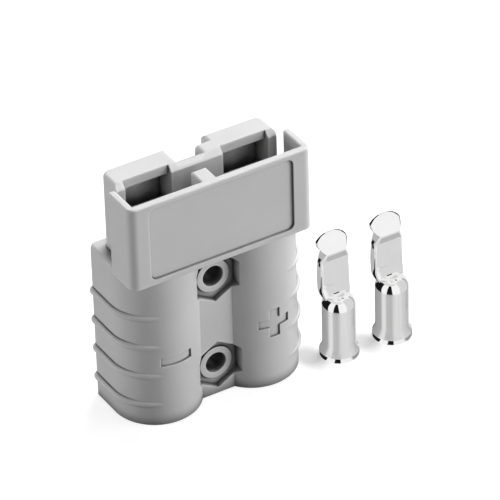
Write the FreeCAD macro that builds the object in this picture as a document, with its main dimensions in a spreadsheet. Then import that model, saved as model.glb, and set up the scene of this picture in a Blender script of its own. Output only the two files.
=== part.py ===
"""Genderless two-pole power connector: moulded housing, two leaf springs and two loose contacts.

X runs across the two poles with the positive pole at +X, Y runs from the shrouded front to
the back, and Z runs up from the wire end to the mating end. The origin is the middle of the
housing's wire end, on the mating plane. All lengths are in millimetres.
"""
import FreeCAD, Part
import math
import os

import Sketcher
from FreeCAD import Vector

SIZES = {
    # Housing body: two wire barrels side by side, joined by a web
    "barrel_pitch": 20.3,
    "barrel_radius": 8.45,
    "housing_depth": 16.0,
    "shoulder_height": 33.0,
    "back_corner_radius": 1.5,
    "shoulder_rounding": 0.8,
    "web_half_thickness": 4.6,
    "foot_chamfer": 0.2,
    # Shroud that the mating tongue enters
    "shroud_depth": 15.6,
    "shroud_skirt": 1.5,
    "shroud_front_wall": 1.5,
    "shroud_side_wall": 1.45,
    "shroud_back_gap": 0.4,
    "shroud_corner_radius": 1.6,
    "shroud_rim_rounding": 0.35,
    "shroud_wing_rounding": 0.5,
    # Plate recessed in the front of the shroud
    "plate_width": 29.4,
    "plate_height": 15.0,
    "plate_foot_margin": 1.1,
    "plate_corner_radius": 1.2,
    "plate_depth": 0.45,
    # Key rib inside the shroud and the notch that takes the mate's rib
    "key_right": 0.2,
    "key_width": 3.0,
    "key_depth": 3.5,
    "notch_left_clearance": 0.5,
    "notch_right": 1.6,
    "notch_back_right": 4.3,
    "notch_front": 1.25,
    "notch_step": 3.8,
    "notch_edge_rounding": 0.9,
    # Tongue that enters the mate's shroud
    "end_clearance": 0.1,
    "face_clearance": 0.3,
    "side_clearance": 0.75,
    "tongue_front": 0.3,
    "tongue_corner_radius": 1.75,
    "tongue_rounding": 0.75,
    "lead_in_depth": 0.95,
    "lead_in_height": 1.2,
    # Contact pockets in the tongue, each under a roof
    "pocket_width": 9.3,
    "tongue_side_wall": 1.8,
    "tongue_back_wall": 1.45,
    "roof_thickness": 1.8,
    "roof_front": 1.4,
    "slot_front": 0.6,
    # Wire entries
    "wire_bore_radius": 5.0,
    "wire_bore_depth": 20.0,
    "wire_bore_chamfer": 0.6,
    # Mounting holes through the web
    "hole_radius": 2.1,
    "lower_hole_height": 6.45,
    "hole_spacing": 19.1,
    "nut_across_flats": 8.8,
    "nut_pocket_depth": 1.15,
    "boss_radius": 3.3,
    "boss_height": 0.4,
    "back_channel_width": 8.4,
    "back_channel_top": 30.5,
    "counterbore_radius": 3.8,
    "counterbore_depth": 1.15,
    # Grip ribs round the sides
    "rib_count": 4,
    "rib_first_height": 4.6,
    "rib_pitch": 6.3,
    "rib_bead_radius": 0.65,
    "rib_proud": 0.75,
    "rib_corner_radius": 0.8,
    "rib_back_inset": 1.0,
    "rib_front_radius": 7.5,
    "rib_reach": 7.3,
    # Polarity marks
    "mark_height": 13.8,
    "mark_depth": 0.35,
    "mark_angle": 43.0,
    "mark_line": 1.8,
    "plus_arm_height": 6.0,
    "plus_arm_angle": 14.0,
    # Leaf springs
    "spring_side_clearance": 1.1,
    "spring_thickness": 0.5,
    "spring_foot_height": 7.0,
    "spring_lean_height": 20.3,
    "spring_tip_height": 21.8,
    "spring_lean": 3.2,
    "spring_tip_return": 0.7,
    "spring_bend_radius": 1.6,
    # Contacts: wire barrel
    "contact_barrel_radius": 3.1,
    "contact_barrel_height": 11.05,
    "contact_dome_height": 2.2,
    "contact_bore_radius": 2.45,
    "contact_bore_depth": 9.2,
    "contact_lip_radius": 3.7,
    "contact_lip_height": 1.0,
    "contact_lip_rounding": 0.3,
    "contact_flare_height": 3.2,
    # Contacts: blade and latching head
    "blade_half_width": 3.0,
    "blade_root_half_width": 2.0,
    "blade_root_height": 11.6,
    "blade_full_height": 14.8,
    "blade_set_back": 0.85,
    "blade_thickness": 1.55,
    "blade_spoon_depth": 1.3,
    "blade_spoon_height": 14.8,
    "blade_top_height": 20.3,
    "blade_side_radius": 4.0,
    "head_ridge_height": 22.2,
    "head_ridge_proud": 0.62,
    "head_neck_half_width": 2.15,
    "head_half_width": 3.15,
    "head_cheek_radius": 3.4,
    "head_corner_height": 24.8,
    "head_crown_rise": 0.85,
    "head_crown_radius": 3.5,
    "head_back": 1.95,
    "head_tip_thickness": 0.4,
    # Where the loose contacts stand beside the housing
    "contact_minus_x": 24.85,
    "contact_minus_y": -6.0,
    "contact_gap_x": 11.15,
    "contact_gap_y": -0.5,
}

document = FreeCAD.newDocument("genderless_power_connector")
sheet = document.addObject("Spreadsheet::Sheet", "sizes")
for row, (alias, number) in enumerate(SIZES.items(), start=1):
    sheet.set(f"A{row}", str(number))
    sheet.setAlias(f"A{row}", alias)
document.recompute()


class Length:
    """A length that carries its number and the rule over the sheet's cells that gives it."""

    def __init__(self, number, rule):
        self.number = number
        self.rule = rule

    def __add__(self, other):
        other = as_length(other)
        return Length(self.number + other.number, f"({self.rule} + {other.rule})")

    def __sub__(self, other):
        other = as_length(other)
        return Length(self.number - other.number, f"({self.rule} - {other.rule})")

    def __rsub__(self, other):
        return as_length(other) - self

    def __mul__(self, other):
        other = as_length(other)
        return Length(self.number * other.number, f"({self.rule} * {other.rule})")

    def __truediv__(self, other):
        other = as_length(other)
        return Length(self.number / other.number, f"({self.rule} / {other.rule})")

    def __neg__(self):
        return self * -1


def as_length(value):
    """Give a plain number the form of a length."""
    return value if isinstance(value, Length) else Length(float(value), str(value))


def size(alias):
    """The driving size with this name."""
    return Length(float(getattr(sheet, alias)), f"sizes.{alias}")


def root(value):
    """The square root of a length's square."""
    return Length(math.sqrt(value.number), f"sqrt({value.rule})")


def bind(feature, name, value):
    """Tie a property of a feature to the rule of a length."""
    feature.setExpression(name, as_length(value).rule)


# Heights and half-widths that several features share
half_depth = size("housing_depth") / 2
barrel_radius = size("barrel_radius")
barrel_x = size("barrel_pitch") / 2
barrel_y = barrel_radius - half_depth
half_width = barrel_x + barrel_radius
shoulder = size("shoulder_height")
shroud_top = shoulder + size("shroud_depth")
tongue_top = shroud_top - size("end_clearance")
cavity_half_width = half_width - size("shroud_side_wall")
cavity_front = half_depth - size("shroud_front_wall")
tongue_half_width = cavity_half_width - size("side_clearance")
tongue_back = cavity_front - size("face_clearance")
pocket_outer = tongue_half_width - size("tongue_side_wall")
pocket_inner = pocket_outer - size("pocket_width")
pocket_back = tongue_back - size("tongue_back_wall")
pocket_middle = (pocket_outer + pocket_inner) / 2
roof_under = tongue_top - size("roof_thickness")
slot_floor = size("wire_bore_depth")
lower_hole = size("lower_hole_height")
upper_hole = lower_hole + size("hole_spacing")


def origin_feature(body, role):
    """One of a body's own origin planes or axes."""
    for feature in body.Origin.OriginFeatures:
        if feature.Role == role:
            return feature


def new_sketch(body, name, role, shift=0, across=0):
    """A sketch on one of the body's origin planes, shifted along that plane's normal.

    The XZ plane's normal points to -Y, the others along their axis. A sketch can also be
    shifted across, along its own first axis.
    """
    sketch = body.newObject("Sketcher::SketchObject", name)
    sketch.AttachmentSupport = [(origin_feature(body, role), "")]
    sketch.MapMode = "FlatFace"
    bind(sketch, "AttachmentOffset.Base.x", across)
    bind(sketch, "AttachmentOffset.Base.z", shift)
    return sketch


def pin(sketch, edge, end, across, up):
    """Fix an end of an edge at its place across and up in the sketch."""
    for kind, axis, distance in (("DistanceX", -2, across), ("DistanceY", -1, up)):
        distance = as_length(distance)
        if distance.rule == "0":
            sketch.addConstraint(Sketcher.Constraint("PointOnObject", edge, end, axis))
            continue
        rule = Sketcher.Constraint(kind, -1, 1, edge, end, distance.number)
        bind(sketch, f"Constraints[{sketch.addConstraint(rule)}]", distance)


def set_radius(sketch, edge, radius):
    """Give a circle or an arc its radius."""
    rule = Sketcher.Constraint("Radius", edge, radius.number)
    bind(sketch, f"Constraints[{sketch.addConstraint(rule)}]", radius)


def draw_circle(sketch, across, up, radius):
    """A circle about a point."""
    across, up, radius = as_length(across), as_length(up), as_length(radius)
    centre = Vector(across.number, up.number, 0)
    edge = sketch.addGeometry(Part.Circle(centre, Vector(0, 0, 1), radius.number), False)
    pin(sketch, edge, 3, across, up)
    set_radius(sketch, edge, radius)


def arc_between(start, finish, radius, turn):
    """The shorter arc between two points, turning left for turn 1 and right for turn -1."""
    chord = finish - start
    rise = math.sqrt(max(radius ** 2 - (chord.Length / 2) ** 2, 0.0))
    left = Vector(-chord.y, chord.x, 0).normalize()
    centre = (start + finish) / 2 + left * rise * turn
    if turn < 0:
        start, finish = finish, start
    first = math.atan2(start.y - centre.y, start.x - centre.x)
    last = math.atan2(finish.y - centre.y, finish.x - centre.x)
    if last < first:
        last += 2 * math.pi
    return Part.ArcOfCircle(Part.Circle(centre, Vector(0, 0, 1), radius), first, last)


def draw_outline(sketch, corners, closed=True):
    """Lines and arcs through the corners in turn.

    A corner is (across, up), or (across, up, radius, turn) where an arc leads on from it.
    """
    count = len(corners)
    spots = [Vector(as_length(c[0]).number, as_length(c[1]).number, 0) for c in corners]
    ends = []
    for index in range(count if closed else count - 1):
        corner, start, finish = corners[index], spots[index], spots[(index + 1) % count]
        if len(corner) == 2:
            edge = sketch.addGeometry(Part.LineSegment(start, finish), False)
            ends.append((edge, 1, 2))
            continue
        radius, turn = as_length(corner[2]), corner[3]
        edge = sketch.addGeometry(arc_between(start, finish, radius.number, turn), False)
        ends.append((edge, 1, 2) if turn > 0 else (edge, 2, 1))
        set_radius(sketch, edge, radius)
    for index, (edge, start, finish) in enumerate(ends):
        pin(sketch, edge, start, corners[index][0], corners[index][1])
        if closed or index + 1 < len(ends):
            follower, follower_start, _ = ends[(index + 1) % len(ends)]
            sketch.addConstraint(
                Sketcher.Constraint("Coincident", edge, finish, follower, follower_start))
    if not closed:
        edge, _, finish = ends[-1]
        pin(sketch, edge, finish, corners[-1][0], corners[-1][1])


def draw_box(sketch, left, right, low, high):
    """An upright rectangle."""
    draw_outline(sketch, [(left, low), (right, low), (right, high), (left, high)])


def draw_rounded_box(sketch, left, right, low, high, radius):
    """An upright rectangle with round corners."""
    draw_outline(sketch, [
        (left + radius, low), (right - radius, low, radius, 1),
        (right, low + radius), (right, high - radius, radius, 1),
        (right - radius, high), (left + radius, high, radius, 1),
        (left, high - radius), (left, low + radius, radius, 1),
    ])


def extrude(body, kind, name, sketch, distance, reverse=False, symmetric=False):
    """A pad or pocket of a sketch; a pocket cuts against the sketch's normal."""
    feature = body.newObject(f"PartDesign::{kind}", name)
    feature.Profile = sketch
    feature.Reversed = reverse
    feature.SideType = "Symmetric" if symmetric else "One side"
    bind(feature, "Length", distance)
    sketch.Visibility = False
    return feature


def pick_edges(feature, test):
    """The names of a feature's edges that pass a test on their bounding box."""
    document.recompute()
    edges = feature.Shape.Edges
    return [f"Edge{index}" for index, edge in enumerate(edges, start=1) if test(edge.BoundBox)]


def round_edges(body, name, feature, test, radius):
    """A fillet on the edges of the last feature that pass a test."""
    fillet = body.newObject("PartDesign::Fillet", name)
    fillet.Base = (feature, pick_edges(feature, test))
    bind(fillet, "Radius", radius)
    return fillet


def chamfer_edges(body, name, feature, test, width):
    """A chamfer on the edges of the last feature that pass a test."""
    chamfer = body.newObject("PartDesign::Chamfer", name)
    chamfer.Base = (feature, pick_edges(feature, test))
    bind(chamfer, "Size", width)
    return chamfer


def level(box, height, slack=0.01):
    """True for an edge that lies flat at a height."""
    return abs(box.ZMin - height.number) < slack and abs(box.ZMax - height.number) < slack


def upright(box, depth, slack=0.01):
    """True for an edge that stands upright at a depth."""
    return (box.ZLength > 1 and abs(box.YMin - depth.number) < slack
            and abs(box.YMax - depth.number) < slack)


def housing_body(body):
    """The two barrels and their web, from the wire end up to the shoulder."""
    web = size("web_half_thickness")
    rise = web + barrel_y
    web_x = barrel_x - root(barrel_radius * barrel_radius - rise * rise)
    corner = size("back_corner_radius")
    sketch = new_sketch(body, "body_outline", "XY_Plane")
    draw_outline(sketch, [
        (-web_x, -web), (web_x, -web, barrel_radius, 1),
        (half_width, barrel_y), (half_width, half_depth - corner, corner, 1),
        (half_width - corner, half_depth), (corner - half_width, half_depth, corner, 1),
        (-half_width, half_depth - corner), (-half_width, barrel_y, barrel_radius, 1),
    ])
    block = extrude(body, "Pad", "body_block", sketch, shoulder)
    document.recompute()
    rounding = round_edges(
        body, "shoulder_edge", block,
        lambda box: level(box, shoulder) and box.YMax > 0.1, size("shoulder_rounding"))
    document.recompute()
    chamfer_edges(
        body, "foot_edge", rounding,
        lambda box: level(box, as_length(0)), size("foot_chamfer"))


def shroud(body):
    """The C-shaped shroud at the front, with its key rib."""
    corner = size("shroud_corner_radius")
    skirt = shoulder - size("shroud_skirt")
    sketch = new_sketch(body, "shroud_outline", "XY_Plane", skirt)
    wing_back = -size("shroud_back_gap")
    rounding = size("shroud_wing_rounding")
    draw_outline(sketch, [
        (corner - half_width, -half_depth), (half_width - corner, -half_depth, corner, 1),
        (half_width, corner - half_depth), (half_width, wing_back - rounding, rounding, 1),
        (half_width - rounding, wing_back), (rounding - half_width, wing_back, rounding, 1),
        (-half_width, wing_back - rounding), (-half_width, corner - half_depth, corner, 1),
    ])
    extrude(body, "Pad", "shroud_block", sketch, shroud_top - skirt)
    sketch = new_sketch(body, "cavity_outline", "XY_Plane", shroud_top)
    draw_box(sketch, -cavity_half_width, cavity_half_width, -cavity_front, half_depth)
    extrude(body, "Pocket", "shroud_cavity", sketch, size("shroud_depth"))
    sketch = new_sketch(body, "key_outline", "XY_Plane", shoulder)
    key_back = size("key_depth") - cavity_front
    key_right = -size("key_right")
    draw_box(sketch, key_right - size("key_width"), key_right, -cavity_front, key_back)
    key = extrude(body, "Pad", "key_rib", sketch, size("shroud_depth"))
    wings = round_edges(
        body, "wing_ends", key,
        lambda box: upright(box, wing_back) and box.ZMin > shoulder.number - 0.01, rounding)
    round_edges(
        body, "shroud_rim", wings, lambda box: level(box, shroud_top),
        size("shroud_rim_rounding"))


def tongue(body):
    """The tongue behind the shroud, with its lead-in and the notch for the mate's key rib."""
    front = size("tongue_front")
    sketch = new_sketch(body, "tongue_outline", "XY_Plane", shoulder)
    corner = size("tongue_corner_radius")
    draw_outline(sketch, [
        (-tongue_half_width, front), (tongue_half_width, front),
        (tongue_half_width, tongue_back - corner, corner, 1),
        (tongue_half_width - corner, tongue_back),
        (corner - tongue_half_width, tongue_back, corner, 1),
        (-tongue_half_width, tongue_back - corner),
    ])
    block = extrude(body, "Pad", "tongue_block", sketch, tongue_top - shoulder)
    document.recompute()
    round_edges(
        body, "tongue_edge", block,
        lambda box: level(box, tongue_top) and box.YMax > front.number + 0.1,
        size("tongue_rounding"))

    sketch = new_sketch(body, "lead_in_profile", "YZ_Plane")
    slope_end = front + size("lead_in_depth")
    beyond = size("face_clearance")
    draw_outline(sketch, [
        (front - beyond, tongue_top - size("lead_in_height")),
        (front, tongue_top - size("lead_in_height")),
        (slope_end, tongue_top), (slope_end, tongue_top + beyond),
        (front - beyond, tongue_top + beyond),
    ])
    extrude(body, "Pocket", "lead_in", sketch, tongue_half_width * 2, symmetric=True)

    sketch = new_sketch(body, "notch_outline", "XY_Plane", tongue_top)
    notch_left = -size("key_right") - size("key_width") - size("notch_left_clearance")
    draw_outline(sketch, [
        (notch_left, size("notch_front")), (size("notch_right"), size("notch_front")),
        (size("notch_right"), size("notch_step")),
        (size("notch_back_right"), size("notch_step")),
        (size("notch_back_right"), half_depth), (notch_left, half_depth),
    ])
    extrude(body, "Pocket", "key_notch", sketch, tongue_top - shoulder)

    rounding = size("notch_edge_rounding")
    edges = (
        ("notch_front_edge", "notch_right", size("notch_front"), size("notch_step")),
        ("notch_back_edge", "notch_back_right", size("notch_step"), half_depth),
    )
    for name, side, start, finish in edges:
        sketch = new_sketch(body, f"{name}_profile", "XZ_Plane", -start)
        draw_outline(sketch, [
            (size(side), tongue_top - rounding), (size(side), tongue_top + rounding),
            (size(side) + rounding, tongue_top + rounding),
            (size(side) + rounding, tongue_top, rounding, 1),
        ])
        extrude(body, "Pocket", name, sketch, finish - start)


def contact_passages(body):
    """Per pole: a pocket under its roof, a slot below it, and the round wire entry."""
    pocket_sketch = new_sketch(body, "pocket_outline", "XY_Plane", roof_under)
    roof_sketch = new_sketch(body, "roof_outline", "XY_Plane", tongue_top)
    wire_sketch = new_sketch(body, "wire_outline", "XY_Plane")
    for side in (-1, 1):
        near, far = pocket_inner * side, pocket_outer * side
        left, right = (near, far) if side > 0 else (far, near)
        draw_box(pocket_sketch, left, right, -size("slot_front"), pocket_back)
        draw_box(roof_sketch, left, right, size("tongue_front") - size("face_clearance"),
                 size("roof_front"))
        draw_circle(wire_sketch, barrel_x * side, barrel_y, size("wire_bore_radius"))
    extrude(body, "Pocket", "contact_pockets", pocket_sketch, roof_under - slot_floor)
    extrude(body, "Pocket", "roof_fronts", roof_sketch, size("roof_thickness"))
    bores = extrude(body, "Pocket", "wire_bores", wire_sketch, slot_floor, reverse=True)
    bore_width = size("wire_bore_radius").number * 2
    chamfer_edges(
        body, "wire_mouths", bores,
        lambda box: level(box, as_length(0)) and abs(box.XLength - bore_width) < 0.01,
        size("wire_bore_chamfer"))


def front_plate(body):
    """The bare plate recessed in the front of the shroud."""
    sketch = new_sketch(body, "plate_outline", "XZ_Plane", half_depth)
    half_plate = size("plate_width") / 2
    foot = shoulder - size("shroud_skirt") + size("plate_foot_margin")
    draw_rounded_box(sketch, -half_plate, half_plate, foot, foot + size("plate_height"),
                     size("plate_corner_radius"))
    extrude(body, "Pocket", "plate_recess", sketch, size("plate_depth"))


def mounting_holes(body):
    """Two screw holes through the web, with nut pockets in front and counterbores behind."""
    web = size("web_half_thickness")
    back_sketch = new_sketch(body, "back_channel_outline", "XZ_Plane", -half_depth)
    half_channel = size("back_channel_width") / 2
    draw_box(back_sketch, -half_channel, half_channel, 0, size("back_channel_top"))
    extrude(body, "Pocket", "back_channel", back_sketch, half_depth - web, reverse=True)

    nut_sketch = new_sketch(body, "nut_outline", "XZ_Plane", half_depth)
    boss_sketch = new_sketch(
        body, "boss_outline", "XZ_Plane", web - size("nut_pocket_depth"))
    bore_sketch = new_sketch(body, "counterbore_outline", "XZ_Plane", -web)
    hole_sketch = new_sketch(body, "hole_outline", "XZ_Plane")
    flat = size("nut_across_flats") / 2
    tip = flat * 2 / root(as_length(3))
    for height in (lower_hole, upper_hole):
        draw_outline(nut_sketch, [
            (0, height - tip), (flat, height - tip / 2), (flat, height + tip / 2),
            (0, height + tip), (-flat, height + tip / 2), (-flat, height - tip / 2),
        ])
        draw_circle(boss_sketch, 0, height, size("boss_radius"))
        draw_circle(bore_sketch, 0, height, size("counterbore_radius"))
        draw_circle(hole_sketch, 0, height, size("hole_radius"))
    nut_depth = half_depth - web + size("nut_pocket_depth")
    extrude(body, "Pocket", "nut_pockets", nut_sketch, nut_depth)
    extrude(body, "Pad", "hole_bosses", boss_sketch, size("boss_height"))
    extrude(body, "Pocket", "counterbores", bore_sketch, size("counterbore_depth"), reverse=True)
    extrude(body, "Pocket", "mounting_holes", hole_sketch, half_depth * 2, symmetric=True)


def polarity_marks(body):
    """A minus on the left barrel and a plus on the right one, sunk to an even depth."""
    floor = size("mark_depth") - barrel_radius
    air = -barrel_radius - size("mark_depth")
    middle = size("mark_height")
    line = size("mark_line") / 2
    arm = size("plus_arm_height") / 2
    marks = (
        ("minus_line", -1, line, "mark_angle"),
        ("plus_line", 1, line, "mark_angle"),
        ("plus_arm", 1, arm, "plus_arm_angle"),
    )
    for name, side, half_height, angle in marks:
        sketch = new_sketch(body, f"{name}_profile", "YZ_Plane", barrel_x * side, barrel_y)
        draw_box(sketch, air, floor, middle - half_height, middle + half_height)
        groove = body.newObject("PartDesign::Groove", name)
        groove.Profile = sketch
        groove.ReferenceAxis = (sketch, ["V_Axis"])
        groove.Midplane = True
        bind(groove, "Angle", size(angle))


def grip_ribs(body):
    """Half-round beads from the back corners round the sides, fading into the barrels."""
    bead = size("rib_bead_radius")
    line_x = half_width + size("rib_proud") - bead
    corner = size("rib_corner_radius")
    front = size("rib_front_radius")
    start_y = half_depth - size("rib_back_inset")
    reach = size("rib_reach")
    end_x = line_x - front + root(front * front - reach * reach)
    for side, word in ((-1, "left"), (1, "right")):
        path = new_sketch(body, f"{word}_rib_path", "XY_Plane", size("rib_first_height"))
        draw_outline(path, [
            ((line_x - corner) * side, start_y, corner, -side),
            (line_x * side, start_y - corner), (line_x * side, barrel_y, front, -side),
            (end_x * side, barrel_y - reach),
        ], closed=False)
        profile = new_sketch(
            body, f"{word}_rib_profile", "YZ_Plane", (line_x - corner) * side)
        draw_circle(profile, start_y, size("rib_first_height"), bead)
        rib = body.newObject("PartDesign::AdditivePipe", f"{word}_rib")
        rib.Profile = profile
        rib.Spine = (path, ["Edge1", "Edge2", "Edge3"])
        document.recompute()
        pattern = body.newObject("PartDesign::LinearPattern", f"{word}_ribs")
        pattern.Originals = [rib]
        pattern.Direction = (origin_feature(body, "Z_Axis"), [""])
        pattern.Mode = "Spacing"
        bind(pattern, "Offset", size("rib_pitch"))
        bind(pattern, "Occurrences", size("rib_count"))
        body.Tip = pattern


def make_housing():
    """The moulded housing."""
    body = document.addObject("PartDesign::Body", "housing")
    housing_body(body)
    shroud(body)
    tongue(body)
    contact_passages(body)
    front_plate(body)
    mounting_holes(body)
    polarity_marks(body)
    grip_ribs(body)
    return body


def make_spring(name, side):
    """A leaf spring: its foot stands on the slot's floor against the pocket's back wall."""
    body = document.addObject("PartDesign::Body", name)
    sketch = new_sketch(body, f"{name}_profile", "YZ_Plane")
    thickness = size("spring_thickness")
    bend = slot_floor + size("spring_foot_height")
    crest = slot_floor + size("spring_lean_height")
    tip = slot_floor + size("spring_tip_height")
    crest_y = pocket_back - size("spring_lean")
    tip_y = crest_y + size("spring_tip_return")
    draw_outline(sketch, [
        (pocket_back, slot_floor), (pocket_back, bend), (crest_y, crest), (tip_y, tip),
        (tip_y - thickness, tip), (crest_y - thickness, crest),
        (pocket_back - thickness, bend), (pocket_back - thickness, slot_floor),
    ])
    width = size("pocket_width") - size("spring_side_clearance") * 2
    leaf = extrude(body, "Pad", f"{name}_leaf", sketch, width, symmetric=True)
    bends = (bend.number, crest.number)
    round_edges(
        body, f"{name}_bends", leaf,
        lambda box: box.YLength < 0.01 and box.ZLength < 0.01
        and any(abs(box.ZMin - height) < 0.01 for height in bends),
        size("spring_bend_radius"))
    bind(body, "Placement.Base.x", pocket_middle * side)
    return body


def contact_blade(body, name):
    """The flat blade and its head: a front outline, cut to its side profile."""
    sketch = new_sketch(body, f"{name}_blade_outline", "XZ_Plane")
    root_z, full_z = size("blade_root_height"), size("blade_full_height")
    top_z, ridge_z = size("blade_top_height"), size("head_ridge_height")
    half, root_half = size("blade_half_width"), size("blade_root_half_width")
    neck, head = size("head_neck_half_width"), size("head_half_width")
    corner_z = size("head_corner_height")
    crown_z = corner_z + size("head_crown_rise")
    crown, cheek = size("head_crown_radius"), size("head_cheek_radius")
    bow = size("blade_side_radius")
    draw_outline(sketch, [
        (-root_half, root_z), (root_half, root_z, bow, 1), (half, full_z), (half, top_z),
        (neck, ridge_z, cheek, 1), (head, corner_z, crown, 1), (0, crown_z, crown, 1),
        (-head, corner_z, cheek, 1), (-neck, ridge_z), (-half, top_z), (-half, full_z, bow, 1),
    ])
    span = size("head_back") * 4
    extrude(body, "Pad", f"{name}_blade_block", sketch, span, symmetric=True)

    set_back = size("blade_set_back")
    sketch = new_sketch(body, f"{name}_blade_profile", "YZ_Plane", 0, set_back)
    edge_y = span / 2 + set_back
    back, tip = size("head_back"), size("head_tip_thickness")
    draw_box(sketch, -edge_y, edge_y, root_z, crown_z + tip)
    thickness, spoon = size("blade_thickness"), size("blade_spoon_depth")
    spoon_z = size("blade_spoon_height")
    spoon_rise = spoon_z - root_z
    spoon_radius = (spoon_rise * spoon_rise + spoon * spoon) / (spoon * 2)
    draw_outline(sketch, [
        (0, spoon_z), (0, top_z), (-size("head_ridge_proud"), ridge_z),
        (back - tip, crown_z), (back, crown_z), (back, ridge_z),
        (thickness, top_z), (thickness, root_z + tip), (-spoon, root_z + tip, spoon_radius, 1),
    ])
    extrude(body, "Pocket", f"{name}_blade_sides", sketch, half * 4, symmetric=True)


def contact_barrel(body, name):
    """The turned wire barrel, its domed shoulder and its flared mouth."""
    sketch = new_sketch(body, f"{name}_barrel_profile", "XZ_Plane")
    barrel, lip = size("contact_barrel_radius"), size("contact_lip_radius")
    bore, bore_top = size("contact_bore_radius"), size("contact_bore_depth")
    lip_z, rounding = size("contact_lip_height"), size("contact_lip_rounding")
    flare_z, shoulder_z = size("contact_flare_height"), size("contact_barrel_height")
    dome = size("contact_dome_height")
    swell, rise = lip - barrel, flare_z - lip_z
    flare = (rise * rise + swell * swell) / (swell * 2)
    draw_outline(sketch, [
        (bore, 0), (lip - rounding, 0, rounding, 1), (lip, rounding), (lip, lip_z, flare, -1),
        (barrel, flare_z), (barrel, shoulder_z, dome, 1),
        (barrel - dome, shoulder_z + dome), (0, shoulder_z + dome),
        (0, bore_top + bore / 4), (bore, bore_top),
    ])
    turned = body.newObject("PartDesign::Revolution", f"{name}_barrel")
    turned.Profile = sketch
    turned.ReferenceAxis = (sketch, ["V_Axis"])
    turned.Angle = 360
    return turned


def make_contact(name, across, back):
    """A loose contact, standing on its mouth beside the housing."""
    body = document.addObject("PartDesign::Body", name)
    contact_blade(body, name)
    contact_barrel(body, name)
    bind(body, "Placement.Base.x", across)
    bind(body, "Placement.Base.y", back)
    return body


def check(pieces):
    """Stop where a feature failed or a piece has no sound solid."""
    document.recompute()
    failed = [item.Name for item in document.Objects
              if "Invalid" in item.State or "Error" in item.State]
    if failed:
        raise RuntimeError(f"failed features: {failed}")
    for piece in pieces:
        if piece.Shape.isNull() or not piece.Shape.isValid():
            raise RuntimeError(f"{piece.Label} has no sound shape")
        print(f"{piece.Label}: {len(piece.Shape.Solids)} solid, {piece.Shape.Volume:.1f} mm3")


first_x, first_y = size("contact_minus_x"), size("contact_minus_y")
pieces = [
    make_housing(),
    make_spring("spring_minus", -1),
    make_spring("spring_plus", 1),
    make_contact("contact_minus", first_x, first_y),
    make_contact("contact_plus", first_x + size("contact_gap_x"), first_y + size("contact_gap_y")),
]
check(pieces)
os.makedirs("parts", exist_ok=True)
for piece in pieces:
    piece.Shape.exportStep(f"parts/{piece.Label}.step")
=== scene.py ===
import math

import bmesh
import bpy
import numpy as np
from mathutils import Matrix, Vector


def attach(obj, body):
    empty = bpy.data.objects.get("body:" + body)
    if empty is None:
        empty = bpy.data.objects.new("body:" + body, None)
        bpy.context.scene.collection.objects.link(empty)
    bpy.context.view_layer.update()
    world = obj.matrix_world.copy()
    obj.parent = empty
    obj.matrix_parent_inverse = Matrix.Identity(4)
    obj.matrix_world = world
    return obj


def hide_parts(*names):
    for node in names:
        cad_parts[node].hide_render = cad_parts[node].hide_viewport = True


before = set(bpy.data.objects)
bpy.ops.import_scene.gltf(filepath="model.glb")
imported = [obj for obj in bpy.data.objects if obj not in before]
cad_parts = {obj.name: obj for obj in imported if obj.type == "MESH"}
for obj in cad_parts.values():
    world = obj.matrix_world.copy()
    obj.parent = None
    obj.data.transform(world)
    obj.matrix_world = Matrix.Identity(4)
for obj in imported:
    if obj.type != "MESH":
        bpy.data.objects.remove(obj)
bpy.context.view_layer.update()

MM = 0.001
FULL_TURN = 2 * math.pi


def placed(name, data):
    """A new object in the scene."""
    item = bpy.data.objects.new(name, data)
    bpy.context.collection.objects.link(item)
    return item


# Camera: where the photograph was taken from, in metres, radians and pixels

AIM = Vector((0.0, 0.0, 0.024))
AZIMUTH, ELEVATION, ROLL = -0.5305, 0.6132, -0.0291
ACROSS, UP = -8.58 * MM, -4.025 * MM
DISTANCE = 0.85
FRAME_PIXELS, FOCUS_PIXELS = 500, 4758.9
SENSOR_WIDTH = 36.0


def photograph_camera():
    """A long lens at the photograph's angle, aimed beside the middle of the housing."""
    back = Vector((math.sin(AZIMUTH) * math.cos(ELEVATION),
                   -math.cos(AZIMUTH) * math.cos(ELEVATION), math.sin(ELEVATION)))
    level = Vector((0, 0, 1)).cross(back).normalized()
    rise = back.cross(level)
    right = level * math.cos(ROLL) + rise * math.sin(ROLL)
    top = rise * math.cos(ROLL) - level * math.sin(ROLL)
    place = AIM + back * DISTANCE - right * ACROSS - top * UP
    lens = bpy.data.cameras.new("photograph")
    lens.sensor_width = SENSOR_WIDTH
    lens.lens = FOCUS_PIXELS * SENSOR_WIDTH / FRAME_PIXELS
    camera = placed("photograph", lens)
    turn = Matrix((right, top, back)).transposed()
    camera.matrix_world = Matrix.Translation(place) @ turn.to_4x4()
    bpy.context.scene.camera = camera


# Node helpers

def give(tree, value, socket):
    """Links a socket to an input, or sets the input to a number or colour."""
    if isinstance(value, bpy.types.NodeSocket):
        tree.links.new(value, socket)
    else:
        socket.default_value = value


def feed(tree, node, **inputs):
    """A node with its named inputs given."""
    for name, value in inputs.items():
        give(tree, value, node.inputs[name.replace("_", " ")])
    return node


def put(tree, kind, **inputs):
    """A new node with its named inputs given."""
    return feed(tree, tree.nodes.new(kind), **inputs)


def math_node(tree, operation, first, second=0.0):
    """The result of one sum."""
    node = tree.nodes.new("ShaderNodeMath")
    node.operation = operation
    for socket, value in zip(node.inputs, (first, second)):
        give(tree, value, socket)
    return node.outputs[0]


def product(tree, first, second):
    """Two values or masks multiplied."""
    return math_node(tree, "MULTIPLY", first, second)


def vector_value(tree, operation, first, second=(0.0, 0.0, 0.0)):
    """The number that one sum of vectors gives."""
    node = tree.nodes.new("ShaderNodeVectorMath")
    node.operation = operation
    for socket, value in zip(node.inputs, (first, second)):
        give(tree, value, socket)
    return node.outputs["Value"]


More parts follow.
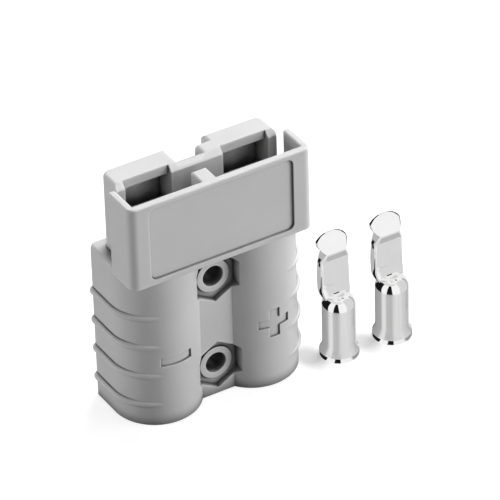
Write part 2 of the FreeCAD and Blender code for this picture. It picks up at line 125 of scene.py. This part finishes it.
def scaled(tree, value, low, high, to_low, to_high):
    """A value carried from one range to another, held at the ends."""
    node = put(tree, "ShaderNodeMapRange", Value=value)
    for socket, number in zip(list(node.inputs)[1:5], (low, high, to_low, to_high)):
        socket.default_value = number
    return node.outputs[0]


def grey(tone):
    """A neutral colour."""
    return tone, tone, tone, 1.0


def blended(tree, factor, first, second):
    """Two colours mixed by a factor."""
    node = tree.nodes.new("ShaderNodeMix")
    node.data_type = "RGBA"
    sockets = {item.identifier: item for item in (*node.inputs, *node.outputs)}
    for name, value in (("Factor_Float", factor), ("A_Color", first), ("B_Color", second)):
        give(tree, value, sockets[name])
    return sockets["Result_Color"]


def own_place(tree):
    """The object's own coordinates."""
    return tree.nodes.new("ShaderNodeTexCoord").outputs["Object"]


# Effects that the materials share

NOISE_DETAIL = 2.0
NOISE_LOW, NOISE_HIGH = 0.3, 0.7
BEVEL_SAMPLES, CLOSED_SAMPLES = 6, 8
# Each mask, whether it looks inside the solid, its reach, and how open a point is where the
# mask starts and where it is full
EDGE_KINDS = (("Outer Edge", True, "Rounding", 0.9, 0.6),
              ("Inner Corner", False, "Reach", 0.92, 0.5),
              ("Recess", False, "Depth", 0.74, 0.42))


def new_group(name, inputs, outputs, kind="NodeSocketFloat"):
    """An empty shader node group: its inputs are numbers and its outputs are of one kind."""
    tree = bpy.data.node_groups.new(name, "ShaderNodeTree")
    for word, number in inputs:
        socket = tree.interface.new_socket(word, in_out="INPUT", socket_type="NodeSocketFloat")
        socket.default_value = number
    for word in outputs:
        tree.interface.new_socket(word, in_out="OUTPUT", socket_type=kind)
    return tree, tree.nodes.new("NodeGroupInput"), tree.nodes.new("NodeGroupOutput")


def use_group(tree, group, **inputs):
    """A group placed in a material with its own values."""
    node = tree.nodes.new("ShaderNodeGroup")
    node.node_tree = group
    return feed(tree, node, **inputs)


def grain_group():
    """Fine grain and broad cloudiness on the object's own coordinates, both about 0.5."""
    tree, given, result = new_group(
        "surface_grain", [("Fine Scale", 2500.0), ("Broad Scale", 120.0)], ["Fine", "Broad"])
    place = own_place(tree)
    for word in ("Fine", "Broad"):
        noise = put(tree, "ShaderNodeTexNoise", Vector=place,
                    Scale=given.outputs[f"{word} Scale"], Detail=NOISE_DETAIL)
        tree.links.new(noise.outputs[0], result.inputs[word])
    return tree


def edge_group():
    """Masks for outer edges, inner corners and deep recesses, by how closed in a point is; the
    plastic uses them for a painted highlight and painted shade.
    """
    tree, given, result = new_group(
        "edges_and_corners", [("Rounding", 0.8 * MM), ("Reach", 0.4 * MM), ("Depth", 5.0 * MM)],
        [kind[0] for kind in EDGE_KINDS])
    for word, inside, reach, free, shut in EDGE_KINDS:
        closed = put(tree, "ShaderNodeAmbientOcclusion", Distance=given.outputs[reach])
        closed.inside, closed.samples = inside, CLOSED_SAMPLES
        mask = scaled(tree, closed.outputs["AO"], free, shut, 0.0, 1.0)
        tree.links.new(mask, result.inputs[word])
    return tree


def rounded_group():
    """Edges that read as rounded to a radius, under a fine bump."""
    tree, given, result = new_group(
        "rounded_edges", [("Radius", 0.35 * MM), ("Height", 0.5), ("Strength", 0.1),
                          ("Distance", 0.05 * MM)], ["Normal"], "NodeSocketVector")
    soft = put(tree, "ShaderNodeBevel", Radius=given.outputs["Radius"])
    soft.samples = BEVEL_SAMPLES
    bump = put(tree, "ShaderNodeBump", Strength=given.outputs["Strength"],
               Distance=given.outputs["Distance"], Height=given.outputs["Height"],
               Normal=soft.outputs[0])
    tree.links.new(bump.outputs[0], result.inputs["Normal"])
    return tree


def by_noise(tree, noise, low, high):
    """A value that follows a noise over its usual range."""
    return scaled(tree, noise, NOISE_LOW, NOISE_HIGH, low, high)


# Materials of the housing, the springs and the contacts

PLASTIC_DARK, PLASTIC_LIGHT = grey(0.595), grey(0.63)
# Each mask, its strength, and the tone that it blends the plastic towards: a painted highlight on
# outer edges, painted shade in inner corners and in recesses
PLASTIC_PAINTED_LIGHT_AND_SHADE = (("Outer Edge", 0.35, 0.88), ("Inner Corner", 0.7, 0.14), ("Recess", 0.97, 0.02))
STEEL_DARK, STEEL_LIGHT = (0.5, 0.49, 0.47, 1.0), (0.68, 0.67, 0.65, 1.0)
SILVER_DULL, SILVER_CLOUDED, SILVER = grey(0.72), grey(0.88), (0.95, 0.95, 0.945, 1.0)
# Drawn streaks, fine round the barrel and long up it, and the heights from and to at which the
# bright lip ends and the bright dome starts
STREAK_SCALE = (1400.0, 1400.0, 40.0)
LIP_ENDS, DOME_STARTS = (1.13 * MM, 1.22 * MM), (10.95 * MM, 11.1 * MM)


def new_material(name):
    """A material with a Principled shader, and its tree."""
    material = bpy.data.materials.new(name)
    material.use_nodes = True
    tree = material.node_tree
    return material, tree, tree.nodes["Principled BSDF"]


def housing_plastic(grain, edges, rounded):
    """Satin grey moulded polycarbonate, with a painted highlight on outer edges and painted shade
    in corners and recesses."""
    material, tree, shader = new_material("housing_plastic")
    surface = use_group(tree, grain, Fine_Scale=3200.0, Broad_Scale=90.0)
    masks = use_group(tree, edges, Reach=0.45 * MM)
    cloud = by_noise(tree, surface.outputs["Broad"], 0.0, 1.0)
    colour = blended(tree, cloud, PLASTIC_DARK, PLASTIC_LIGHT)
    # Painted highlight on outer edges, painted shade in inner corners and deep recesses
    for mask, strength, tone in PLASTIC_PAINTED_LIGHT_AND_SHADE:
        colour = blended(tree, product(tree, masks.outputs[mask], strength), colour, grey(tone))
    normal = use_group(tree, rounded, Radius=0.35 * MM, Height=surface.outputs["Fine"],
                       Strength=0.12, Distance=0.05 * MM)
    feed(tree, shader, Base_Color=colour, IOR=1.5, Normal=normal.outputs["Normal"],
         Roughness=by_noise(tree, surface.outputs["Fine"], 0.3, 0.38))
    return material


def spring_steel(grain, rounded):
    """Plain rolled stainless strip."""
    material, tree, shader = new_material("spring_steel")
    surface = use_group(tree, grain, Fine_Scale=1800.0, Broad_Scale=300.0)
    colour = blended(tree, surface.outputs["Broad"], STEEL_DARK, STEEL_LIGHT)
    normal = use_group(tree, rounded, Radius=0.08 * MM, Height=surface.outputs["Fine"],
                       Strength=0.1, Distance=0.03 * MM)
    feed(tree, shader, Base_Color=colour, Metallic=1.0, Normal=normal.outputs["Normal"],
         Roughness=by_noise(tree, surface.outputs["Fine"], 0.24, 0.4))
    return material


def contact_plating(grain):
    """Silver plate: bright on the lip, the dome and the blade, satin drawn up the barrel."""
    material, tree, shader = new_material("contact_plating")
    surface = use_group(tree, grain, Fine_Scale=2600.0, Broad_Scale=350.0)
    place = own_place(tree)
    drawn = put(tree, "ShaderNodeMapping", Vector=place, Scale=STREAK_SCALE)
    streak = put(tree, "ShaderNodeTexNoise", Vector=drawn.outputs[0], Scale=1.0,
                 Detail=NOISE_DETAIL).outputs[0]
    height = put(tree, "ShaderNodeSeparateXYZ", Vector=place).outputs["Z"]
    above_lip = scaled(tree, height, *LIP_ENDS, 0.0, 1.0)
    below_dome = scaled(tree, height, *DOME_STARTS, 1.0, 0.0)
    satin = product(tree, above_lip, below_dome)
    bright = blended(tree, surface.outputs["Broad"], SILVER_CLOUDED, SILVER)
    dull = blended(tree, streak, SILVER_DULL, SILVER)
    smooth = by_noise(tree, surface.outputs["Fine"], 0.03, 0.06)
    brushed = by_noise(tree, streak, 0.13, 0.2)
    bump = put(tree, "ShaderNodeBump", Strength=0.04, Distance=0.02 * MM, Height=streak)
    feed(tree, shader, Base_Color=blended(tree, satin, bright, dull), Metallic=1.0,
         Roughness=math_node(tree, "ADD", product(tree, satin, brushed), smooth),
         Normal=bump.outputs[0])
    return material


# Loose contacts, in millimetres from the middle of their mouth

CONTACT_FEET = {"contact_minus": (24.85, -6.0), "contact_plus": (36.0, -6.5)}
BLADE_SET_BACK = 0.85
# The blade's edges: their rounding, the share of its thickness that this may take, and the
# width of face that is kept even beside it
EDGE_ROUNDING, ROUNDING_SHARE, EDGE_MARGIN = 0.32, 0.24, 0.08
# How close to the end of a long run its extra point lies, and how close two points are one
SUPPORT_GAP, MERGED_WITHIN = 0.07, 0.0005


def arc(start, finish, radius, count):
    """Points on a circle from one point to another, turning left, or right for a minus radius."""
    first, last = np.array(start), np.array(finish)
    half = (last - first) / 2
    reach = np.hypot(*half)
    beside = np.array((-half[1], half[0])) / reach
    centre = first + half + beside * math.copysign(math.sqrt(radius ** 2 - reach ** 2), radius)
    begin, end = (math.atan2(*(point - centre)[::-1]) for point in (first, last))
    if radius > 0 and end < begin:
        end += FULL_TURN
    if radius < 0 and end > begin:
        end -= FULL_TURN
    turn = np.linspace(begin, end, count)
    return centre + abs(radius) * np.column_stack((np.cos(turn), np.sin(turn)))


def circle(around):
    """Cosine and sine of each of a number of even turns."""
    turn = np.arange(around) * FULL_TURN / around
    return np.cos(turn), np.sin(turn)


def supported(path, gap):
    """A path with two more points on each run, close to its ends, so that long runs stay flat."""
    step = np.diff(path, axis=0)
    share = np.minimum(gap / np.hypot(*step.T), 1 / 3)[:, None]
    parts = np.stack((path[:-1], path[:-1] + step * share, path[1:] - step * share), axis=1)
    return np.vstack((parts.reshape(-1, 2), path[-1:]))


def grid_faces(rows, columns):
    """Four-sided faces between the rows of a grid whose columns close on themselves."""
    row, column = np.meshgrid(np.arange(rows - 1), np.arange(columns), indexing="ij")
    after = (column + 1) % columns
    corners = (row * columns + column, row * columns + after,
               (row + 1) * columns + after, (row + 1) * columns + column)
    return np.stack(corners, axis=-1).reshape(-1, 4)


def barrel_surface(around=128):
    """The wire barrel: a profile of radius and height, down the crimp bore, round the lip, up
    the flare and the outside and over the dome, turned about Z."""
    profile = supported(np.vstack((
        [(0.0, 9.81), (2.45, 9.2), (2.45, 0.0)],
        arc((3.4, 0.0), (3.7, 0.3), 0.3, 6),
        arc((3.7, 1.12), (3.1, 2.95), -3.4, 14),
        arc((3.1, 11.05), (0.9, 13.25), 2.2, 22),
        [(0.0, 13.25)],
    )), SUPPORT_GAP)
    across, along = circle(around)
    radius, height = profile[:, 0, None], profile[:, 1, None]
    points = np.stack((radius * across, radius * along, height + 0 * across), axis=-1)
    return points.reshape(-1, 3), grid_faces(len(profile), around).tolist()


def lies_back(profile, height):
    """How far back a side profile lies at given heights."""
    return np.interp(height, profile[:, 1], profile[:, 0])


def blade_surface(rows=170):
    """The blade and its head: at each point of the front outline a loop runs across the front
    face, round a quarter circle to the side, round another to the back, and back mirrored. The
    faces lie on the side profile at the height of each point."""
    # Half width and height of the front outline, spaced evenly and smoothed
    outline = np.vstack((
        arc((2.0, 11.6), (3.0, 14.8), 4.0, 16), [(3.0, 20.3)],
        arc((2.15, 22.2), (3.1, 24.18), 2.2, 16), arc((3.1, 24.18), (0.0, 25.6), 4.1, 30)[1:],
    ))
    length = np.append(0, np.cumsum(np.hypot(*np.diff(outline, axis=0).T)))
    spot = np.linspace(0, length[-1], rows)
    outline = np.column_stack([np.interp(spot, length, side) for side in outline.T])
    soft = np.array([1, 2, 3, 2, 1]) / 9
    outline[2:-2] = np.column_stack([np.convolve(side, soft, "valid") for side in outline.T])
    along = np.gradient(outline, axis=0)
    along[-1] = (-1.0, 0.0)
    outward = np.column_stack((along[:, 1], -along[:, 0])) / np.hypot(*along.T)[:, None]

    # Set-back and height of the faces: in front a spoon, a flat run, a joggle and a dished head
    spoon = arc((-1.3, 12.0), (0.0, 14.8), 4.588, 16)
    joggle = [(0.0, 20.15), (-0.05, 20.4), (-0.58, 22.0), (-0.6, 22.2)]
    dish = arc((-0.52, 22.32), (1.5, 25.1), 9.0, 16)
    face = np.vstack(([(-1.3, 11.0)], spoon, joggle, dish, [(1.55, 25.65)]))
    rear = np.array([(0.3, 11.0), (0.6, 12.0), (1.3, 12.9), (1.65, 14.0), (1.85, 15.5),
                     (1.88, 17.0), (1.75, 18.8), (1.6, 20.3), (1.9, 21.6), (1.95, 22.2),
                     (1.95, 26.0)])

    # The rounded edge: how far in from the outline and how far back from the face
    edge_x, edge_z = outline[:, 0, None], outline[:, 1, None]
    depth = lies_back(rear, edge_z) - lies_back(face, edge_z)
    rounding = np.minimum(EDGE_ROUNDING, ROUNDING_SHARE * depth)
    quarter = np.linspace(math.pi / 2, 0, 8)
    front_in = np.hstack((-rounding - EDGE_MARGIN, rounding * (np.cos(quarter) - 1)))
    front_back = np.hstack((0 * rounding, rounding * (1 - np.sin(quarter))))
    inset = np.hstack((front_in, front_in[:, ::-1]))

    half_x = edge_x + inset * outward[:, :1]
    half_z = edge_z + inset * outward[:, 1:]
    count = front_in.shape[1]
    half_y = np.hstack((lies_back(face, half_z[:, :count]) + front_back,
                        lies_back(rear, half_z[:, count:]) - front_back[:, ::-1]))
    middle = [np.stack((0 * spot, half_y[:, end], half_z[:, end]), axis=-1)[:, None]
              for end in (0, -1)]
    right = np.stack((half_x, half_y, half_z), axis=-1)
    right[-1, :, 0] = 0
    left = right[:, ::-1] * (-1, 1, 1)
    loops = np.concatenate((middle[0], right, middle[1], left), axis=1)
    loops[..., 1] += BLADE_SET_BACK
    columns = loops.shape[1]
    faces = grid_faces(rows, columns).tolist()
    return loops.reshape(-1, 3), faces + [list(range(columns))[::-1]]


def plated_contact(name, across, back, material):
    """A loose contact: the turned barrel with the blade rooted in its dome, both closed."""
    barrel, barrel_faces = barrel_surface()
    blade, blade_faces = blade_surface()
    points = np.vstack((barrel, blade)) + (across, back, 0.0)
    faces = barrel_faces + [[corner + len(barrel) for corner in one] for one in blade_faces]
    mesh = bpy.data.meshes.new(f"{name}_plated")
    mesh.from_pydata((points * MM).tolist(), [], faces)
    merged = bmesh.new()
    merged.from_mesh(mesh)
    bmesh.ops.remove_doubles(merged, verts=merged.verts, dist=MERGED_WITHIN * MM)
    merged.to_mesh(mesh)
    merged.free()
    mesh.polygons.foreach_set("use_smooth", np.ones(len(mesh.polygons), dtype=bool))
    mesh.materials.append(material)
    piece = placed(f"{name}_plated", mesh)
    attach(piece, "root")
    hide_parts(name)


# Studio helpers: masks and tones

HALF_CIRCLE = 180.0


def studio_paint(name):
    """A material with no Principled shader, and its tree."""
    material, tree, shader = new_material(name)
    tree.nodes.remove(shader)
    return material, tree


def show_mixed(tree, factor, first, second):
    """Two shaders mixed by a factor, as the material's surface."""
    surface = put(tree, "ShaderNodeMixShader", Fac=factor)
    tree.links.new(first.outputs[0], surface.inputs[1])
    tree.links.new(second.outputs[0], surface.inputs[2])
    tree.links.new(surface.outputs[0], tree.nodes["Material Output"].inputs["Surface"])


def band(tree, value, low, high, soft):
    """A mask that is 1 between two values and falls off over a soft width."""
    rise = scaled(tree, value, low - soft, low + soft, 0.0, 1.0)
    return product(tree, rise, step_down(tree, value, high, soft))


def step_up(tree, value, soft):
    """A mask that rises from 0 to 1 about nought."""
    return scaled(tree, value, -soft, soft, 0.0, 1.0)


def step_down(tree, value, at, soft):
    """A mask that falls from 1 to 0 about a value."""
    return scaled(tree, value, at - soft, at + soft, 1.0, 0.0)


def away_from(tree, value, centre):
    """How far a value is from another, either way."""
    return math_node(tree, "ABSOLUTE", math_node(tree, "SUBTRACT", value, centre))


def tone_ramp(tree, bearing, stops):
    """A grey that follows the bearing through a list of stops."""
    share = scaled(tree, bearing, -HALF_CIRCLE, HALF_CIRCLE, 0.0, 1.0)
    ramp = put(tree, "ShaderNodeValToRGB", Fac=share)
    points = ramp.color_ramp.elements
    while len(points) < len(stops):
        points.new(0.5)
    for point, (degrees, tone) in zip(points, stops):
        point.position = (degrees + HALF_CIRCLE) / (2 * HALF_CIRCLE)
        point.color = grey(tone)
    return ramp.outputs[0]


def turn_about(tree, across, along):
    """The bearing of a direction, in degrees to the right of the photograph's camera."""
    first = math.sin(AZIMUTH), -math.cos(AZIMUTH)
    towards = math_node(tree, "ADD", product(tree, across, first[0]),
                        product(tree, along, first[1]))
    beside = math_node(tree, "ADD", product(tree, across, -first[1]),
                       product(tree, along, first[0]))
    return product(tree, math_node(tree, "ARCTAN2", beside, towards), HALF_CIRCLE / math.pi)


def toned(tree, way, *span):
    """A tone that follows how nearly a direction in the world is a given way."""
    direction = tree.nodes.new("ShaderNodeTexCoord").outputs["Generated"]
    near = vector_value(tree, "DOT_PRODUCT", direction, Vector(way).normalized())
    return scaled(tree, near, *span)


# World: each tone has a way, how near to it the tone starts and ends, and its two values

DIM_UPPER_LEFT = ((-0.72, 0.1, 0.69), 0.0, 0.75, 0.6, 0.03)
CARD_IN_FRONT = ((0.15, -0.54, 0.78), 0.84, 0.94, 0.0, 9.0)
CARD_BEHIND = ((0.41, 0.71, 0.58), 0.85, 0.97, 0.0, 1.6)
LOW_HORIZON = ((0.0, 0.0, 1.0), 0.1, 0.5, 0.1, 1.0)


def studio_world():
    """A soft world, white to the camera and dimmer from the upper left. Gloss also sees two
    bright cards: one in front draws the light lines along rims and beads, one behind the
    object lies in the level faces."""
    world = bpy.data.worlds.new("studio_world")
    bpy.context.scene.world = world
    world.use_nodes = True
    tree = world.node_tree
    path = tree.nodes.new("ShaderNodeLightPath")
    gloss = path.outputs["Is Glossy Ray"]
    seen = math_node(tree, "MAXIMUM", path.outputs["Is Camera Ray"],
                     path.outputs["Is Transmission Ray"])
    ambient = toned(tree, *DIM_UPPER_LEFT)
    cards = math_node(tree, "ADD", toned(tree, *CARD_IN_FRONT), toned(tree, *CARD_BEHIND))
    cards = product(tree, cards, gloss)
    mirrored = math_node(tree, "MAXIMUM", toned(tree, *LOW_HORIZON),
                         math_node(tree, "SUBTRACT", 1.0, gloss))
    dull = math_node(tree, "ADD", product(tree, ambient, mirrored), cards)
    feed(tree, tree.nodes["Background"], Color=grey(1.0),
         Strength=math_node(tree, "MAXIMUM", seen, dull))


# Floor: half its side and its drop in metres, its tones, and what metal sees near a foot

FLOOR_REACH, FLOOR_DROP = 1.5, 0.02 * MM
FLOOR_PAINT, FLOOR_IN_METAL, FLOOR_GLOW = grey(0.4), grey(0.08), 0.8
FOOT_REACH, FOOT_SOFT = 5.25 * MM, 0.05 * MM
FOOT_STOPS = [(-180, 0.3), (-90, 0.3), (-86, 0.01), (-47, 0.01), (-45, 0.95), (-18, 0.95),
              (-16, 0.01), (2, 0.01), (4, 0.95), (40, 0.95), (50, 0.33), (180, 0.33)]
# Painted shadows on the floor, beside the housing and between the contacts: place, half sizes and
# tone
PAINTED_FLOOR_SHADOWS = ((19.4, -4.0, 3.4, 4.4, 0.42), (30.3, -5.6, 3.0, 3.6, 0.5))
SHADE_FULL, SHADE_ENDS = 0.45, 1.2


def from_point(tree, spot, across, along, wide=1.0, deep=1.0):
    """How far a floor place is from a point, across, along and straight, in given units."""
    beside = math_node(tree, "SUBTRACT", spot.outputs["X"], across)
    behind = math_node(tree, "SUBTRACT", spot.outputs["Y"], along)
    beside = math_node(tree, "DIVIDE", beside, wide)
    behind = math_node(tree, "DIVIDE", behind, deep)
    offset = put(tree, "ShaderNodeCombineXYZ", X=beside, Y=behind).outputs[0]
    return beside, behind, vector_value(tree, "LENGTH", offset)


def pale_floor(feet):
    """A plain pale floor, white outside the soft shadows, which are partly cast and partly
    painted as soft patches in its glow. Close to a contact's foot metal mirrors it as dark and
    light flags that follow the bearing."""
    corners = [(across * FLOOR_REACH, along * FLOOR_REACH, 0)
               for across, along in ((-1, -1), (1, -1), (1, 1), (-1, 1))]
    mesh = bpy.data.meshes.new("floor")
    mesh.from_pydata(corners, [], [(0, 1, 2, 3)])
    floor = placed("floor", mesh)
    floor.location.z = -FLOOR_DROP
    material, tree = studio_paint("floor_paint")
    spot = put(tree, "ShaderNodeSeparateXYZ", Vector=own_place(tree))
    mirrored = FLOOR_IN_METAL
    for foot_x, foot_y in feet:
        across, along, far = from_point(tree, spot, foot_x, foot_y)
        close = step_down(tree, far, FOOT_REACH, FOOT_SOFT)
        tones = tone_ramp(tree, turn_about(tree, across, along), FOOT_STOPS)
        mirrored = blended(tree, close, mirrored, tones)
    bright = FLOOR_GLOW
    # Painted shadows: the floor's glow to the camera is dimmed in soft patches
    for across, along, wide, deep, tone in PAINTED_FLOOR_SHADOWS:
        far = from_point(tree, spot, across * MM, along * MM, wide * MM, deep * MM)[2]
        bright = product(tree, scaled(tree, far, SHADE_FULL, SHADE_ENDS, tone, 1.0), bright)
    path = tree.nodes.new("ShaderNodeLightPath")
    paint = put(tree, "ShaderNodeBsdfDiffuse", Color=FLOOR_PAINT)
    glow = put(tree, "ShaderNodeEmission",
               Strength=product(tree, path.outputs["Is Camera Ray"], bright))
    seen = tree.nodes.new("ShaderNodeAddShader")
    tree.links.new(paint.outputs[0], seen.inputs[0])
    tree.links.new(glow.outputs[0], seen.inputs[1])
    in_metal = put(tree, "ShaderNodeEmission", Color=mirrored)
    show_mixed(tree, path.outputs["Is Glossy Ray"], seen, in_metal)
    mesh.materials.append(material)


# What the contacts mirror: bearings in degrees, and heights and sizes in millimetres

LOW_STOPS = [(-180, 0.06), (-128, 0.06), (-122, 0.38), (-100, 0.38), (-62, 0.46), (-52, 0.85),
             (-36, 0.9), (-27, 0.56), (-3, 0.58), (8, 0.78), (40, 0.82), (60, 0.74), (85, 0.62),
             (100, 0.48), (112, 0.85), (124, 0.9), (130, 0.1), (180, 0.06)]
HIGH_STOPS = [(-180, 0.8), (-52, 0.98), (36, 0.98), (42, 0.72), (95, 0.72), (98, 0.96),
              (150, 0.9), (165, 0.7), (180, 0.7)]
TUBE_RADIUS, TUBE_HEIGHT = 5.3, 120.0
FLAGS_START, FLAG_SOFT, BEARING_SOFT = 9.45, 0.15, 1.0
FLAG_TONE, PATCH_TONE = grey(0.01), grey(0.5)
SIDE_SPAN, SIDE_RISE = (-155.0, -86.0), (FLAGS_START, 24.0)
# Each slanting edge: its heights, and its bearing or half width at them
FLAG_SLANT, WEDGE_TAPER = (9.4, 16.6, -122.0, -72.0), (9.4, 15.6, 15.0, 7.0)
FLAG_TOP, FLAG_END, FLAG_SLANT_SOFT = 16.6, -54.0, 1.5
WEDGE_TOP, WEDGE_BEARING, WEDGE_SOFT = 15.6, -12.5, 0.8
LEANING, LEANING_RISE, LEANING_WIDTH = (5.0, 16.0, 85.0, 111.0), (4.8, 15.8, 0.2), 8.0
# Patches that the blade and its head mirror: bearings, heights and tone
BLADE_PATCHES = (((-100.5, -91.5), (17.9, 20.8), 0.01), ((-142.0, -92.0), (24.0, 30.0), 0.01),
                 ((-84.0, 26.0), (15.8, 22.0), 0.78), ((106.0, 178.0), (23.4, 26.8), 0.03),
                 ((30.0, 106.0), (21.0, 32.0), 0.97))
BLADE_PATCH_SOFT = 0.12


def reflector_paint():
    """What a contact mirrors: soft greys round its barrel, and dark flags above it."""
    material, tree = studio_paint("reflector_paint")
    place = put(tree, "ShaderNodeSeparateXYZ", Vector=own_place(tree))
    bearing = turn_about(tree, place.outputs["X"], place.outputs["Y"])
    height = math_node(tree, "DIVIDE", place.outputs["Z"], MM)

    def patch(span, rise, soft):
        """A mask between two bearings and two heights."""
        return product(tree, band(tree, bearing, *span, BEARING_SOFT),
                       band(tree, height, *rise, soft))

    low = step_down(tree, height, FLAGS_START, FLAG_SOFT)
    tones = blended(tree, low, tone_ramp(tree, bearing, HIGH_STOPS),
                    tone_ramp(tree, bearing, LOW_STOPS))
    tones = blended(tree, patch(SIDE_SPAN, SIDE_RISE, FLAG_SOFT), tones, PATCH_TONE)

    slant = math_node(tree, "SUBTRACT", bearing, scaled(tree, height, *FLAG_SLANT))
    flag = product(tree, step_up(tree, slant, FLAG_SLANT_SOFT),
                   step_down(tree, bearing, FLAG_END, BEARING_SOFT))
    flag = product(tree, flag, band(tree, height, FLAGS_START, FLAG_TOP, FLAG_SOFT))
    aside = away_from(tree, bearing, WEDGE_BEARING)
    wedge = math_node(tree, "SUBTRACT", scaled(tree, height, *WEDGE_TAPER), aside)
    wedge = product(tree, step_up(tree, wedge, WEDGE_SOFT),
                    band(tree, height, FLAGS_START, WEDGE_TOP, FLAG_SOFT))
    tones = blended(tree, math_node(tree, "MAXIMUM", flag, wedge), tones, FLAG_TONE)

    leaning = away_from(tree, bearing, scaled(tree, height, *LEANING))
    leaning = product(tree, step_down(tree, leaning, LEANING_WIDTH, BEARING_SOFT),
                      band(tree, height, *LEANING_RISE))
    tones = blended(tree, leaning, tones, PATCH_TONE)
    for span, rise, tone in BLADE_PATCHES:
        tones = blended(tree, patch(span, rise, BLADE_PATCH_SOFT), tones, grey(tone))

    show_mixed(tree, tree.nodes.new("ShaderNodeNewGeometry").outputs["Backfacing"],
               tree.nodes.new("ShaderNodeBsdfTransparent"),
               put(tree, "ShaderNodeEmission", Color=tones))
    return material


def reflector_tubes(feet, around=96):
    """A thin open tube round each contact, which only its own mirror finish sees: a circle
    carried straight up."""
    ring = np.column_stack(circle(around)) * TUBE_RADIUS * MM
    points = np.vstack([np.column_stack((ring, np.full(around, level * TUBE_HEIGHT * MM)))
                        for level in (0, 1)])
    mesh = bpy.data.meshes.new("reflector_tube")
    mesh.from_pydata(points.tolist(), [], grid_faces(2, around).tolist())
    mesh.materials.append(reflector_paint())
    for number, (foot_x, foot_y) in enumerate(feet):
        tube = placed(f"reflector_tube_{number}", mesh)
        tube.location = (foot_x, foot_y, 0)
        tube.visible_camera = tube.visible_diffuse = tube.visible_shadow = False
        tube.visible_transmission = tube.visible_volume_scatter = False


# Lamps, in metres and watts: place, width, height and power

LAMP_AIM = Vector((0.008, 0.0, 0.024))
LAMPS = {"top_lamp": ((0.38, 0.22, 0.52), 0.4, 0.4, 4.4),
         "right_lamp": ((0.46, -0.36, 0.17), 0.3, 0.4, 2.4),
         "left_lamp": ((-0.5, 0.28, 0.08), 0.3, 0.3, 2.4)}


def soft_lamp(name, place, width, height, power):
    """A rectangular lamp that faces the middle of the set."""
    light = bpy.data.lights.new(name, "AREA")
    light.shape, light.size, light.size_y, light.energy = "RECTANGLE", width, height, power
    lamp = placed(name, light)
    lamp.location = place
    lamp.rotation_euler = (Vector(place) - LAMP_AIM).to_track_quat("Z", "Y").to_euler()
    lamp.visible_glossy = False


photograph_camera()
studio_world()
floor_feet = [(across * MM, back * MM) for across, back in CONTACT_FEET.values()]
pale_floor(floor_feet)
reflector_tubes(floor_feet)
for name, (place, width, height, power) in LAMPS.items():
    soft_lamp(name, place, width, height, power)

grain, edges, rounded = grain_group(), edge_group(), rounded_group()
plastic, steel = housing_plastic(grain, edges, rounded), spring_steel(grain, rounded)
plating = contact_plating(grain)
finishes = {"housing": plastic, "spring_minus": steel, "spring_plus": steel,
            "contact_minus": plating, "contact_plus": plating}
for name, material in finishes.items():
    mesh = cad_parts[name].data
    mesh.materials.clear()
    mesh.materials.append(material)
for name, (across, back) in CONTACT_FEET.items():
    plated_contact(name, across, back, plating)

scene = bpy.context.scene
scene.view_settings.view_transform = "Standard"
